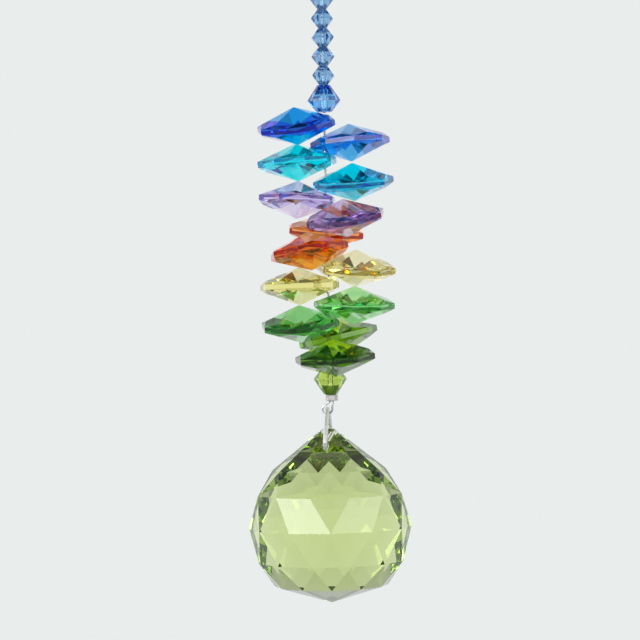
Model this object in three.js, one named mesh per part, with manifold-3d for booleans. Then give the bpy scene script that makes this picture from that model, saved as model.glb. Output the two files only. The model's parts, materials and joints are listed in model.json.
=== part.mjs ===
// Hanging crystal suncatcher: a ring, a wire strung with small bicones, fourteen octagon
// crystals stacked left and right, and a faceted ball on a sprung bail.
// Millimetres, +Z up, front towards -Y. The origin is where the ring hangs.
import * as THREE from 'three';
import { ConvexGeometry } from 'three/addons/geometries/ConvexGeometry.js';
import { mergeVertices } from 'three/addons/utils/BufferGeometryUtils.js';
import Module from 'manifold-3d';

const wasm = await Module();
wasm.setup();

// ---- driving dimensions -------------------------------------------------------------
const WIRE = 0.38;                 // stringing wire, diameter
const DRILL = 1.0;                 // hole through every strung crystal
const REST = 0.04;                 // clearance left between neighbours that rest together
const FIT = 0.08;                  // clearance where a loop goes round a ring or bail

const RING = { middle: 4.5, wire: 1.2 };

const OCTAGON = {
  flats: 13.8, girdle: 1.0, thickness: 7.1,
  kite: 6.35,                      // radius of the points where the kites meet the edge facets
  hole: 5.35,                      // hole to centre, towards the middle of one flat
};
// long and short: girdle to each end; every large bicone's short end is towards the stack.
const SMALL_BICONE = { across: 4.2, long: 1.73, short: 1.73, longEnd: 1.7, shortEnd: 1.7, girdle: 0.25 };
const LARGE_BICONE = { across: 6.0, long: 2.85, short: 2.15, longEnd: 2.4, shortEnd: 2.7, girdle: 0.3 };
const BICONE_SIDES = 8;
const SMALL_BICONES = 10;
const CRIMP = { wide: 2.4, deep: 1.3, tall: 1.15, runs: 0.42 };   // runs: wire to wire

const BALL = {
  radius: 15, sides: 12,
  low: { height: 6.2, radius: 13.66 },
  high: { height: 10.7, radius: 10.51 },
  foot: -13.9, top: { height: 18.2, radius: 1.1 },
  hole: { height: 15.2, across: 1.4, turn: -7 },
};
const BAIL = { wide: 1.1, thick: 0.75, edge: 0.2, spread: 5.5, tip: 3.2, crown: 22.1 };
const LOOP = { radius: 0.9, reach: 2.94 };   // of the wire's end loops, below their crimp
const SWAY = { lower: -0.6, upper: 0.2 };    // of each loop's middle, sideways

// The octagons from the top down. side: where the centre lies from the wire, 0 right,
// 90 to the back; nod: front edge down; tip: right edge down. All in degrees.
const OCTAGONS = [
  { name: 'octagon_sapphire', colour: 0x1f5fc4, side: 187, nod: 11, tip: -6 },
  { name: 'octagon_light_sapphire', colour: 0x6c8fdc, side: 29, nod: -2, tip: -4 },
  { name: 'octagon_aqua', colour: 0x18b4d8, side: 169, nod: -1, tip: -3 },
  { name: 'octagon_blue_zircon', colour: 0x0e9fb4, side: -19, nod: 8, tip: -3 },
  { name: 'octagon_light_violet', colour: 0xb9a6e4, side: 176, nod: -2, tip: 3.5 },
  { name: 'octagon_violet', colour: 0x7a4cc0, side: -52, nod: 11, tip: -7 },
  { name: 'octagon_tangerine', colour: 0xe07a22, side: 93, nod: 7, tip: 6 },
  { name: 'octagon_amber', colour: 0xdd6f12, side: -128, nod: -5, tip: -7.5 },
  { name: 'octagon_jonquil', colour: 0xd6cf7c, side: 14, nod: 8, tip: 4 },
  { name: 'octagon_citrine', colour: 0xdcdc84, side: 190, nod: 0, tip: -1 },
  { name: 'octagon_light_emerald', colour: 0x5cc46a, side: -28, nod: 5, tip: 2 },
  { name: 'octagon_emerald', colour: 0x2f9f46, side: 186, nod: 10, tip: -3.5 },
  { name: 'octagon_olive', colour: 0x7fa016, side: 71, nod: 0, tip: -12 },
  { name: 'octagon_peridot', colour: 0x5f8f14, side: -80, nod: 5, tip: -3 },
];

// ---- helpers ------------------------------------------------------------------------
const rad = THREE.MathUtils.degToRad;
const EIGHTH = Math.PI / 4;

function polar(radius, angle, z) {
  return new THREE.Vector3(radius * Math.cos(angle), radius * Math.sin(angle), z);
}

function ringOfPoints(count, radius, z, startAngle = 0) {
  const points = [];
  for (let i = 0; i < count; i += 1) {
    points.push(polar(radius, startAngle + (i * 2 * Math.PI) / count, z));
  }
  return points;
}

function toSolid(geometry) {
  const plain = geometry.clone();
  plain.deleteAttribute('normal');
  plain.deleteAttribute('uv');
  const merged = mergeVertices(plain, 1e-5);
  return new wasm.Manifold(new wasm.Mesh({
    numProp: 3,
    vertProperties: new Float32Array(merged.attributes.position.array),
    triVerts: new Uint32Array(merged.index.array),
  }));
}

function toGeometry(solid) {
  const mesh = solid.getMesh();
  const geometry = new THREE.BufferGeometry();
  geometry.setAttribute('position', new THREE.BufferAttribute(mesh.vertProperties, 3));
  geometry.setIndex(new THREE.BufferAttribute(mesh.triVerts, 1));
  return geometry;
}

function rod(radius, length, sides = 12) {
  return new THREE.CylinderGeometry(radius, radius, length, sides).rotateX(Math.PI / 2);
}

function crystal(name, colour, geometry) {
  const material = new THREE.MeshStandardMaterial({
    color: colour, roughness: 0.03, metalness: 0, transparent: true, opacity: 0.45,
  });
  const mesh = new THREE.Mesh(geometry, material);
  mesh.name = name;
  return mesh;
}

function metal(name, geometry) {
  const material = new THREE.MeshStandardMaterial({ color: 0xb8b9bc, roughness: 0.22, metalness: 1 });
  const mesh = new THREE.Mesh(geometry, material);
  mesh.name = name;
  return mesh;
}

// ---- octagon crystal: eight kites and eight edge facets a side ------------------------
function octagonSolid() {
  const { flats, girdle, thickness, kite, hole } = OCTAGON;
  const corner = flats / 2 / Math.cos(EIGHTH / 2);
  const crown = (thickness - girdle) / 2;
  const kiteHeight = thickness / 2 - (crown * kite * Math.cos(EIGHTH / 2)) / corner;
  const points = [];
  for (const up of [1, -1]) {
    points.push(new THREE.Vector3(0, 0, (up * thickness) / 2));
    points.push(...ringOfPoints(8, kite, up * kiteHeight));
    points.push(...ringOfPoints(8, corner, (up * girdle) / 2, EIGHTH / 2));
  }
  const drill = toSolid(rod(DRILL / 2, thickness)).translate([hole, 0, 0]);
  return toSolid(new ConvexGeometry(points)).subtract(drill);
}

// Turns an octagon about its hole, so that the wire still runs through the hole.
function poseOctagon(solid, { side, nod, tip }) {
  const turn = new THREE.Matrix4().makeRotationFromEuler(
    new THREE.Euler(rad(nod), rad(tip), rad(side + 180), 'YXZ'),
  );
  turn.multiply(new THREE.Matrix4().makeTranslation(-OCTAGON.hole, 0, 0));
  return solid.transform(turn.elements);
}

// ---- bicone bead --------------------------------------------------------------------
// Height 0 is its girdle; the long end points up unless the bead is turned over.
function biconeSolid({ across, long, short, longEnd, shortEnd, girdle }, startAngle) {
  const points = [
    ...ringOfPoints(BICONE_SIDES, longEnd / 2, long, startAngle),
    ...ringOfPoints(BICONE_SIDES, across / 2, girdle / 2, startAngle),
    ...ringOfPoints(BICONE_SIDES, across / 2, -girdle / 2, startAngle),
    ...ringOfPoints(BICONE_SIDES, shortEnd / 2, -short, startAngle),
  ];
  return toSolid(new ConvexGeometry(points)).subtract(toSolid(rod(DRILL / 2, 4 * long)));
}

// ---- crimp: a tube squeezed flat over two runs of wire ---------------------------------
function crimpGeometry() {
  const outline = oval(CRIMP.wide, CRIMP.deep);
  outline.holes.push(oval(2.8 * WIRE + 0.1, 1.6 * WIRE));
  const bevel = 0.16;
  const body = new THREE.ExtrudeGeometry(outline, {
    depth: CRIMP.tall - 2 * bevel, curveSegments: 6, steps: 1,
    bevelThickness: bevel, bevelSize: bevel, bevelOffset: -bevel, bevelSegments: 2,
  });
  return body.translate(CRIMP.runs / 2, 0, bevel - CRIMP.tall / 2);
}

function oval(wide, deep) {
  const r = deep / 2;
  const flat = (wide - deep) / 2;
  const shape = new THREE.Shape();
  shape.moveTo(-flat, -r);
  shape.lineTo(flat, -r);
  shape.absarc(flat, 0, r, -Math.PI / 2, Math.PI / 2, false);
  shape.lineTo(-flat, r);
  shape.absarc(-flat, 0, r, Math.PI / 2, (3 * Math.PI) / 2, false);
  return shape;
}

// ---- faceted ball with a drilled, pointed top -----------------------------------------
function ballGeometry() {
  const { radius, sides, low, high, foot, top, hole } = BALL;
  const half = Math.PI / sides;
  const points = [
    ...ringOfPoints(sides, radius, 0),
    ...ringOfPoints(sides, top.radius, top.height),
    new THREE.Vector3(0, 0, foot),
  ];
  for (const up of [1, -1]) {
    points.push(...ringOfPoints(sides, low.radius, up * low.height, half));
    points.push(...ringOfPoints(sides, high.radius, up * high.height));
  }
  const drill = new THREE.CylinderGeometry(hole.across / 2, hole.across / 2, 2 * radius, 16);
  drill.rotateZ(rad(hole.turn)).translate(0, 0, hole.height);
  return toGeometry(toSolid(new ConvexGeometry(points)).subtract(toSolid(drill)));
}

// ---- bail: a grooved sprung strip, bent over and turned in to two pins -----------------
function bailPath() {
  const { spread, tip, crown, thick } = BAIL;
  const pinHeight = BALL.hole.height + 0.12;
  const bend = 0.8;
  const shoulder = { out: spread - 3.1, z: crown - 2.4 };
  const topControl = new THREE.Vector3(0, 0, 2 * (crown - thick / 2) - shoulder.z);
  const leg = (way) => {
    const at = (out, z) => new THREE.Vector3(0, way * out, z);
    return {
      tip: at(tip, pinHeight), inner: at(spread - bend, pinHeight), elbow: at(spread, pinHeight),
      outer: at(spread - 0.55, pinHeight + bend), shoulder: at(shoulder.out, shoulder.z),
    };
  };
  const front = leg(-1);
  const back = leg(1);
  const path = new THREE.CurvePath();
  path.add(new THREE.LineCurve3(front.tip, front.inner));
  path.add(new THREE.QuadraticBezierCurve3(front.inner, front.elbow, front.outer));
  path.add(new THREE.LineCurve3(front.outer, front.shoulder));
  path.add(new THREE.QuadraticBezierCurve3(front.shoulder, topControl, back.shoulder));
  path.add(new THREE.LineCurve3(back.shoulder, back.outer));
  path.add(new THREE.QuadraticBezierCurve3(back.outer, back.elbow, back.inner));
  path.add(new THREE.LineCurve3(back.inner, back.tip));
  return path;
}

function bailGeometry() {
  const { wide, thick, edge } = BAIL;
  const groove = { half: 0.1, deep: 0.14 };
  const strip = new THREE.Shape();
  strip.moveTo(-wide / 2 + edge, -thick / 2);
  strip.lineTo(wide / 2 - edge, -thick / 2);
  strip.lineTo(wide / 2, -thick / 2 + edge);
  strip.lineTo(wide / 2, thick / 2 - edge);
  strip.lineTo(wide / 2 - edge, thick / 2);
  strip.lineTo(groove.half, thick / 2);
  strip.lineTo(0, thick / 2 - groove.deep);
  strip.lineTo(-groove.half, thick / 2);
  strip.lineTo(-wide / 2 + edge, thick / 2);
  strip.lineTo(-wide / 2, thick / 2 - edge);
  strip.lineTo(-wide / 2, -thick / 2 + edge);
  strip.closePath();
  return new THREE.ExtrudeGeometry(strip, { extrudePath: bailPath(), steps: 56 });
}

// ---- stringing wire: one straight run with a loop at each end ---------------------------
// The loop hangs from a crimp at height 0, a little to one side, and comes back up beside
// the straight run.
function wireLoop(sway) {
  const { radius, reach } = LOOP;
  const at = (x, z) => new THREE.Vector3(x, 0, z);
  const bow = [];
  for (let i = 0; i <= 6; i += 1) {
    const angle = rad(160 + (i * 220) / 6);
    bow.push(at(sway + radius * Math.cos(angle), radius * (1 + Math.sin(angle)) - reach));
  }
  const path = new THREE.CatmullRomCurve3(
    [at(0, 0.4), at(0, -0.5), ...bow, at(CRIMP.runs, -0.5), at(CRIMP.runs, 0.4)],
    false,
    'centripetal',
  );
  const round = new THREE.Shape(ringOfPoints(8, WIRE / 2, 0).map(({ x, y }) => new THREE.Vector2(x, y)));
  return toSolid(new THREE.ExtrudeGeometry(round, { extrudePath: path, steps: 34 }));
}

// ---- the strand, threaded from the bottom up --------------------------------------------
// Lets a piece down the wire until it rests on what is already there.
function restHeight(solid, threaded, from) {
  let low = from;
  let high = from + 9;
  while (high - low > 0.005) {
    const middle = (low + high) / 2;
    const trial = solid.translate([0, 0, middle]);
    const meets = threaded.slice(-3).some((other) => !other.intersect(trial).isEmpty());
    if (meets) low = middle;
    else high = middle;
  }
  return high + REST;
}

const strand = [];
const threaded = [];
let reached = 0;

function thread(name, colour, solid) {
  reached = restHeight(solid, threaded, reached);
  const placed = solid.translate([0, 0, reached]);
  threaded.push(placed);
  strand.push({ name, colour, solid: placed, height: reached });
}

threaded.push(toSolid(crimpGeometry()));
thread('large_bicone_peridot', 0x8fb85a, biconeSolid(LARGE_BICONE, 0).rotate([180, 0, 0]));
for (const octagon of [...OCTAGONS].reverse()) {
  thread(octagon.name, octagon.colour, poseOctagon(octagonSolid(), octagon));
}
thread('large_bicone_sapphire', 0x5f9be6, biconeSolid(LARGE_BICONE, 0));
for (let i = SMALL_BICONES; i >= 1; i -= 1) {
  thread(`small_bicone_${i}`, 0x79aeea, biconeSolid(SMALL_BICONE, (i * EIGHTH) / 3));
}
thread('crimp_upper', 0xb8b9bc, toSolid(crimpGeometry()).rotate([0, 0, 90]));
const upperCrimp = reached;

// ---- wire, ring, and where everything hangs ---------------------------------------------
function stringingWire() {
  const run = toSolid(rod(WIRE / 2, upperCrimp, 8)).translate([0, 0, upperCrimp / 2]);
  const upper = wireLoop(SWAY.upper).rotate([180, 0, 0]).rotate([0, 0, 90]).translate([0, 0, upperCrimp]);
  return run.add(wireLoop(SWAY.lower)).add(upper);
}

function hangingRing() {
  const torus = new THREE.TorusGeometry(RING.middle, RING.wire / 2, 10, 44).rotateX(Math.PI / 2);
  return metal('hanging_ring', torus);
}

const loopCentre = LOOP.reach - LOOP.radius;
const ringCentre = upperCrimp + loopCentre + LOOP.radius - WIRE / 2 - FIT - RING.wire / 2 + RING.middle;
const hangPoint = ringCentre + RING.middle - RING.wire / 2;
// The crown's underside is as low in the loop as its chamfered edges allow.
const roomInLoop = LOOP.radius - WIRE / 2 - FIT;
const crownDrop = Math.sqrt(roomInLoop ** 2 - (BAIL.wide / 2 - BAIL.edge) ** 2);
const crownTop = -loopCentre - crownDrop + BAIL.thick;

const suncatcher = new THREE.Group();
suncatcher.position.set(0, -SWAY.upper, -hangPoint);

for (const { name, colour, solid } of strand) {
  const geometry = toGeometry(solid);
  suncatcher.add(name.startsWith('crimp') ? metal(name, geometry) : crystal(name, colour, geometry));
}
suncatcher.add(metal('crimp_lower', crimpGeometry()));
suncatcher.add(metal('stringing_wire', toGeometry(stringingWire())));

const ring = hangingRing();
ring.position.set(0, SWAY.upper, ringCentre);
suncatcher.add(ring);

const pendant = new THREE.Group();
pendant.position.set(SWAY.lower, 0, crownTop - BAIL.crown);
const ball = crystal('faceted_ball', 0x9fc46a, ballGeometry());
const bail = metal('bail', bailGeometry());
bail.rotation.z = rad(BALL.hole.turn);
pendant.add(ball, bail);
suncatcher.add(pendant);

export default new THREE.Group().add(suncatcher);
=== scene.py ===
import json
import math

import bpy
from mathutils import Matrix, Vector


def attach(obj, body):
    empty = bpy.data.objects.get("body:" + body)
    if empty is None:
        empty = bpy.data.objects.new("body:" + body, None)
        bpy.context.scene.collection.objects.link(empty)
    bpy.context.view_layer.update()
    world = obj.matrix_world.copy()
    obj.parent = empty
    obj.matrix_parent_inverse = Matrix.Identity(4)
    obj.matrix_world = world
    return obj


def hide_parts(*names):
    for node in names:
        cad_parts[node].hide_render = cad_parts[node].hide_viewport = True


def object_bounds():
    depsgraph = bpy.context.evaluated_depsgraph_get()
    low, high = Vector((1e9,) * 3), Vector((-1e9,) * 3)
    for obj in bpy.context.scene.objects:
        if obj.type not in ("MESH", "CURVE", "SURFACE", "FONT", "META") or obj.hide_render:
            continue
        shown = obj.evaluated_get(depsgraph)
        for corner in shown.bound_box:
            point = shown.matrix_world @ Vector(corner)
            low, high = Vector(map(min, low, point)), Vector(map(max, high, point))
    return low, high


# Hanging crystal suncatcher. Metres, Z up, the origin where the ring hangs, front towards -Y.
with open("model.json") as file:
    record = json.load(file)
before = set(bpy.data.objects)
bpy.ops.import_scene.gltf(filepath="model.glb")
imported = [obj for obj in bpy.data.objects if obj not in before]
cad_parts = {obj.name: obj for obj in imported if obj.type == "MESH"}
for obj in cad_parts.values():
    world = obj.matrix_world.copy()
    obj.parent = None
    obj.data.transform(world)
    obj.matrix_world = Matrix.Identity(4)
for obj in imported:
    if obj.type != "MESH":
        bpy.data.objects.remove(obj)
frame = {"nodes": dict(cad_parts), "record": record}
CAD_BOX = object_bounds()

MM = 0.001
MIDDLE = (Vector(CAD_BOX[0]) + Vector(CAD_BOX[1])) / 2
SLOTS = {part["node"]: part["material_slot"] for part in frame["record"]["subparts"]}

FACET_EDGE = 0.07 * MM        # how far a polished facet's edge is rounded off
BALL_EDGE = 0.09 * MM
SAME_POINT = 0.002 * MM
FLAT = math.radians(1.0)      # triangles that meet at less than this are one facet
SHARP = math.radians(9)       # facets that meet at more than this have an edge to round

# What is left of white light after 6 mm of each crystal: red, green, blue, all linear.
CRYSTAL_TINTS = {
    "sapphire_crystal": (0.010, 0.45, 0.95),
    "light_sapphire_crystal": (0.15, 0.54, 0.94),
    "aqua_crystal": (0.004, 0.90, 0.98),
    "blue_zircon_crystal": (0.004, 0.78, 0.93),
    "light_violet_crystal": (0.82, 0.76, 0.97),
    "violet_crystal": (0.76, 0.62, 0.83),
    "tangerine_crystal": (0.96, 0.60, 0.32),
    "amber_crystal": (0.95, 0.45, 0.05),
    "jonquil_crystal": (0.97, 0.94, 0.66),
    "citrine_crystal": (0.95, 0.93, 0.60),
    "light_emerald_crystal": (0.47, 0.86, 0.45),
    "emerald_crystal": (0.34, 0.74, 0.33),
    "olive_crystal": (0.40, 0.61, 0.001),
    "peridot_crystal": (0.36, 0.58, 0.010),
    "light_sapphire_bicone": (0.075, 0.26, 0.62),
    "large_sapphire_bicone": (0.12, 0.38, 0.78),
    "peridot_bicone": (0.46, 0.66, 0.07),
    "pale_peridot_ball": (0.91, 0.943, 0.79),
}
TINT_DEPTH = 6 * MM
CRYSTAL_INDEX = 1.58
BALL_INDEX = 1.57
MOST_HAZE = 0.008             # roughness of the least well polished patches

DRAW_STRETCH = 0.08           # the metal's draw lines run up and down the strand
DRAW_DEPTH = 0.01 * MM
TARNISH = 0.84                # how bright the dullest patches of plating stay


def deselect_all():
    if bpy.context.object and bpy.context.object.mode != "OBJECT":
        bpy.ops.object.mode_set(mode="OBJECT")
    bpy.ops.object.select_all(action="DESELECT")


def take(piece):
    deselect_all()
    piece.select_set(True)
    bpy.context.view_layer.objects.active = piece


# ---- materials ------------------------------------------------------------------------
def new_material(name):
    material = bpy.data.materials.new(name)
    material.use_nodes = True
    nodes = material.node_tree.nodes
    return material, nodes, material.node_tree.links, nodes["Principled BSDF"]


def new_noise(nodes, scale, detail):
    noise = nodes.new("ShaderNodeTexNoise")
    noise.inputs["Scale"].default_value = scale
    noise.inputs["Detail"].default_value = detail
    return noise


def crystal_glass(name, tint, index):
    material, nodes, links, shader = new_material(name)
    shader.inputs["Base Color"].default_value = (1, 1, 1, 1)
    shader.inputs["IOR"].default_value = index
    shader.inputs["Transmission Weight"].default_value = 1.0

    place = nodes.new("ShaderNodeTexCoord")
    polish = new_noise(nodes, scale=900, detail=3)
    links.new(place.outputs["Object"], polish.inputs["Vector"])
    haze = nodes.new("ShaderNodeMapRange")
    haze.inputs["To Min"].default_value = 0.0
    haze.inputs["To Max"].default_value = MOST_HAZE
    links.new(polish.outputs["Fac"], haze.inputs["Value"])
    links.new(haze.outputs["Result"], shader.inputs["Roughness"])

    # loss: of each colour per metre. The glass absorbs at the strongest loss, less its own colour.
    loss = [-math.log(part) / TINT_DEPTH for part in tint]
    strongest = max(loss)
    body = nodes.new("ShaderNodeVolumeAbsorption")
    body.inputs["Color"].default_value = (*(1 - part / strongest for part in loss), 1)
    body.inputs["Density"].default_value = strongest
    links.new(body.outputs["Volume"], nodes["Material Output"].inputs["Volume"])
    return material


def plated(name, colour, roughness, metal=0.85):
    material, nodes, links, shader = new_material(name)
    shader.inputs["Metallic"].default_value = metal
    place = nodes.new("ShaderNodeTexCoord")
    wear = new_noise(nodes, scale=2600, detail=4)
    links.new(place.outputs["Object"], wear.inputs["Vector"])

    dulling = nodes.new("ShaderNodeMapRange")
    dulling.inputs["To Min"].default_value = roughness * 0.6
    dulling.inputs["To Max"].default_value = roughness * 1.6
    links.new(wear.outputs["Fac"], dulling.inputs["Value"])
    links.new(dulling.outputs["Result"], shader.inputs["Roughness"])

    tarnish = nodes.new("ShaderNodeValToRGB")
    dull, bright = tarnish.color_ramp.elements
    dull.position = 0.3
    dull.color = (*(part * TARNISH for part in colour), 1)
    bright.position = 0.65
    bright.color = (*colour, 1)
    links.new(wear.outputs["Fac"], tarnish.inputs["Fac"])
    links.new(tarnish.outputs["Color"], shader.inputs["Base Color"])

    drawn = nodes.new("ShaderNodeMapping")
    drawn.inputs["Scale"].default_value = (1, 1, DRAW_STRETCH)
    links.new(place.outputs["Object"], drawn.inputs["Vector"])
    lines = new_noise(nodes, scale=9000, detail=2)
    links.new(drawn.outputs["Vector"], lines.inputs["Vector"])
    relief = nodes.new("ShaderNodeBump")
    relief.inputs["Strength"].default_value = 0.35
    relief.inputs["Distance"].default_value = DRAW_DEPTH
    links.new(lines.outputs["Fac"], relief.inputs["Height"])
    links.new(relief.outputs["Normal"], shader.inputs["Normal"])
    return material


def make_finishes():
    made = {
        "bright_chrome": plated("bright_chrome", (0.93, 0.94, 0.93), 0.30, metal=0.65),
        "silver_wire": plated("silver_wire", (0.50, 0.51, 0.52), 0.22),
        "silver_crimp": plated("silver_crimp", (0.82, 0.82, 0.80), 0.24),
    }
    for slot, tint in CRYSTAL_TINTS.items():
        index = BALL_INDEX if slot == "pale_peridot_ball" else CRYSTAL_INDEX
        made[slot] = crystal_glass(slot, tint, index)
    return made


finishes = make_finishes()


# ---- crystals: each with its facet edges just rounded off by the polishing ---------------
def merge_facets():
    bpy.ops.object.mode_set(mode="EDIT")
    bpy.ops.mesh.select_all(action="SELECT")
    bpy.ops.mesh.remove_doubles(threshold=SAME_POINT)
    bpy.ops.mesh.dissolve_limited(angle_limit=FLAT)
    bpy.ops.mesh.customdata_custom_splitnormals_clear()
    bpy.ops.object.mode_set(mode="OBJECT")


def round_edges(piece, edge):
    bevel = piece.modifiers.new("polished edges", "BEVEL")
    bevel.width = edge
    bevel.segments = 2
    bevel.limit_method = "ANGLE"
    bevel.angle_limit = SHARP
    bevel.harden_normals = True
    bpy.ops.object.modifier_apply(modifier=bevel.name)


def polished_crystal(node, edge):
    piece = frame["nodes"][node].copy()
    piece.data = piece.data.copy()
    piece.name = "polished_" + node
    piece.parent = None
    bpy.context.scene.collection.objects.link(piece)
    take(piece)
    merge_facets()
    round_edges(piece, edge)
    piece.data.materials.clear()
    piece.data.materials.append(finishes[SLOTS[node]])
    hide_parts(node)
    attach(piece, "root")


def plate(part):
    part.data.materials.clear()
    part.data.materials.append(finishes[SLOTS[part.name]])


metals = bpy.data.collections.new("metals")
for node in sorted(SLOTS):
    if SLOTS[node] in CRYSTAL_TINTS:
        polished_crystal(node, BALL_EDGE if node == "faceted_ball" else FACET_EDGE)
    else:
        plate(frame["nodes"][node])
        metals.objects.link(frame["nodes"][node])


# ---- studio ---------------------------------------------------------------------------
FLOOR_DROP = 0.9              # the suncatcher hangs well clear of the floor
FLOOR_RADIUS = 3.6
LIGHT_DISTANCE = 1.1
BACKDROP = (0.815, 0.846, 0.840, 1)
ROOM_TINT = (0.985, 1.0, 1.005)
FRONT_OF_ROOM = 0.42          # how bright the room in front is, beside the room behind

# How bright the room is from straight below, at 0, to straight overhead, at 1.
ROOM_BANDS = [
    (0.00, 0.20), (0.03, 0.40), (0.09, 0.68), (0.18, 0.80), (0.29, 0.86), (0.42, 0.92),
    (0.55, 0.93), (0.66, 0.87), (0.76, 0.72), (0.83, 0.46), (0.88, 0.14), (1.00, 0.04),
]


def pale_floor():
    deselect_all()
    bpy.ops.mesh.primitive_circle_add(
        vertices=96, radius=FLOOR_RADIUS, fill_type="NGON", location=(0, 0, -FLOOR_DROP)
    )
    floor = bpy.context.object
    floor.name = "studio_floor"
    bpy.ops.object.transform_apply()
    material, nodes, links, shader = new_material("pale_floor")
    shader.inputs["Base Color"].default_value = (0.80, 0.825, 0.82, 1)
    shader.inputs["Roughness"].default_value = 0.9
    floor.data.materials.append(material)
    floor.visible_transmission = False
    floor.visible_glossy = False


def room_by_height(nodes, links, direction):
    height = nodes.new("ShaderNodeMapRange")
    height.inputs["From Min"].default_value = -1
    height.inputs["From Max"].default_value = 1
    links.new(direction.outputs["Z"], height.inputs["Value"])
    bands = nodes.new("ShaderNodeValToRGB")
    ramp = bands.color_ramp
    while len(ramp.elements) < len(ROOM_BANDS):
        ramp.elements.new(0.5)
    for element, (at, value) in zip(ramp.elements, ROOM_BANDS):
        element.position = at
        element.color = (*(value * part for part in ROOM_TINT), 1)
    links.new(height.outputs["Result"], bands.inputs["Fac"])
    return bands.outputs["Color"]


def room_front_to_back(nodes, links, direction):
    depth = nodes.new("ShaderNodeMapRange")
    depth.interpolation_type = "SMOOTHSTEP"
    depth.inputs["From Min"].default_value = -0.5
    depth.inputs["From Max"].default_value = 0.7
    depth.inputs["To Min"].default_value = FRONT_OF_ROOM
    depth.inputs["To Max"].default_value = 1.0
    links.new(direction.outputs["Y"], depth.inputs["Value"])
    return depth.outputs["Result"]


def studio_world():
    world = bpy.data.worlds.new("studio")
    bpy.context.scene.world = world
    world.use_nodes = True
    nodes, links = world.node_tree.nodes, world.node_tree.links
    place = nodes.new("ShaderNodeTexCoord")
    direction = nodes.new("ShaderNodeSeparateXYZ")
    links.new(place.outputs["Generated"], direction.inputs["Vector"])
    room = nodes.new("ShaderNodeVectorMath")
    room.operation = "SCALE"
    links.new(room_by_height(nodes, links, direction), room.inputs[0])
    links.new(room_front_to_back(nodes, links, direction), room.inputs["Scale"])

    path = nodes.new("ShaderNodeLightPath")
    seen = nodes.new("ShaderNodeMix")
    seen.data_type = "RGBA"
    seen.inputs["B"].default_value = BACKDROP
    links.new(path.outputs["Is Camera Ray"], seen.inputs["Factor"])
    links.new(room.outputs["Vector"], seen.inputs["A"])
    links.new(seen.outputs["Result"], nodes["Background"].inputs["Color"])


def soft_box(name, bearing, height, width, tall, power):
    bearing, height = math.radians(bearing), math.radians(height)
    place = LIGHT_DISTANCE * Vector((
        math.cos(height) * math.sin(bearing),
        -math.cos(height) * math.cos(bearing),
        math.sin(height),
    ))
    deselect_all()
    bpy.ops.object.light_add(type="AREA", location=place + MIDDLE)
    light = bpy.context.object
    light.name = name
    light.rotation_euler = (-place).to_track_quat("-Z", "Y").to_euler()
    light.data.shape = "RECTANGLE"
    light.data.size = width
    light.data.size_y = tall
    light.data.energy = power
    light.visible_camera = False
    return light


def card_for_metals(name, bearing, height, width, tall, power):
    card = soft_box(name, bearing, height, width, tall, power)
    card.light_linking.receiver_collection = metals


def overhead_light():
    deselect_all()
    bpy.ops.object.light_add(type="SUN", location=MIDDLE + Vector((0, 0, 1)))
    light = bpy.context.object
    light.name = "overhead_light"
    light.data.energy = 2.05
    light.data.angle = math.radians(100)
    light.visible_camera = False
    light.visible_glossy = False
    light.visible_transmission = False


def camera():
    deselect_all()
    bpy.ops.object.camera_add(
        location=(-1.65 * MM, -455.2 * MM, -89.5 * MM),
        rotation=(math.radians(90), math.radians(1.3), 0),
    )
    view = bpy.context.object
    view.data.lens = 138.5
    view.data.sensor_width = 36
    view.data.clip_start = 0.01
    bpy.context.scene.camera = view


def light_through_glass(scene):
    scene.view_settings.view_transform = "Standard"
    scene.cycles.max_bounces = 32
    scene.cycles.transmission_bounces = 32
    scene.cycles.glossy_bounces = 16
    scene.cycles.sample_clamp_indirect = 4
    scene.cycles.denoising_input_passes = "RGB"


pale_floor()
studio_world()
soft_box("soft_box_left", bearing=-46, height=20, width=0.80, tall=0.60, power=7.5)
soft_box("soft_box_right", bearing=46, height=20, width=0.80, tall=0.60, power=3.0)
card_for_metals("fill_card", bearing=0, height=24, width=0.30, tall=1.15, power=1.0)
card_for_metals("high_card", bearing=-20, height=68, width=0.60, tall=0.50, power=1.2)
overhead_light()
camera()
light_through_glass(bpy.context.scene)
